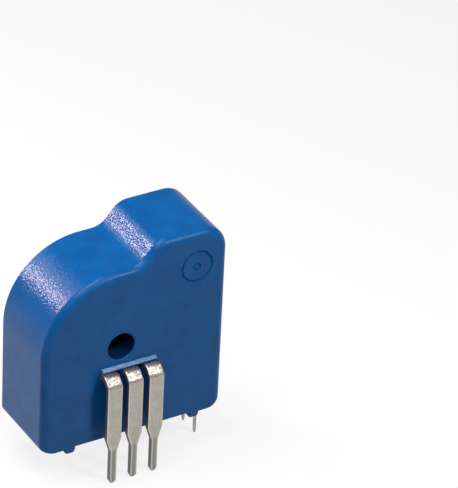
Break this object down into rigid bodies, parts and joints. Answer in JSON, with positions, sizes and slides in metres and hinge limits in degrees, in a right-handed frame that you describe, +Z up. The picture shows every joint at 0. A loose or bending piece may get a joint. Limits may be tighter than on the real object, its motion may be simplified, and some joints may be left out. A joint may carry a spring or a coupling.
{
  "type": "hall effect current sensor",
  "caption": "Closed-loop current sensor for a circuit board: round-shouldered blue housing with a through hole, bridging primary bars and small output pins.",
  "frame": {"origin": "centre of the six primary pins, on the surface of the circuit board that the rails seat on", "axes": "+X along the front face towards the output pins, +Y towards the potted back, +Z up away from the board"},
  "size_m": [0.0222, 0.0134, 0.0283],
  "materials": {
    "housing_plastic": "blue moulded plastic with a fine grain",
    "potting": "dark brown-black casting resin, satin",
    "tinned_bar": "tin-plated copper, satin",
    "signal_pin": "tin-plated wire, satin",
    "core_sheet": "annealed nickel-iron sheet",
    "bobbin_plastic": "black moulded plastic",
    "enamelled_wire": "enamelled copper wire, glossy",
    "chip_body": "black epoxy",
    "board_laminate": "green lacquered glass laminate",
    "resistor_coat": "brown lacquer",
    "capacitor_ceramic": "bare ceramic",
    "solder": "bright solder"
  },
  "bodies": {
    "root": {"housing": "housing_plastic", "potting_resin": "potting", "primary_bar_left": "tinned_bar", "primary_bar_middle": "tinned_bar", "primary_bar_right": "tinned_bar", "output_pin": "signal_pin", "ground_pin": "signal_pin", "supply_pin": "signal_pin", "core_lower": "core_sheet", "core_upper": "core_sheet", "coil_bobbin": "bobbin_plastic", "coil_winding": "enamelled_wire", "bobbin_posts": "signal_pin", "post_wraps": "enamelled_wire", "hall_chip": "chip_body", "hall_chip_leads": "signal_pin", "circuit_board": "board_laminate", "amplifier_chip": "chip_body", "amplifier_leads": "signal_pin", "measuring_resistor": "resistor_coat", "ceramic_capacitors": "capacitor_ceramic", "chip_resistors": "chip_body", "solder_joints": "solder"}
  },
  "joints": []
}
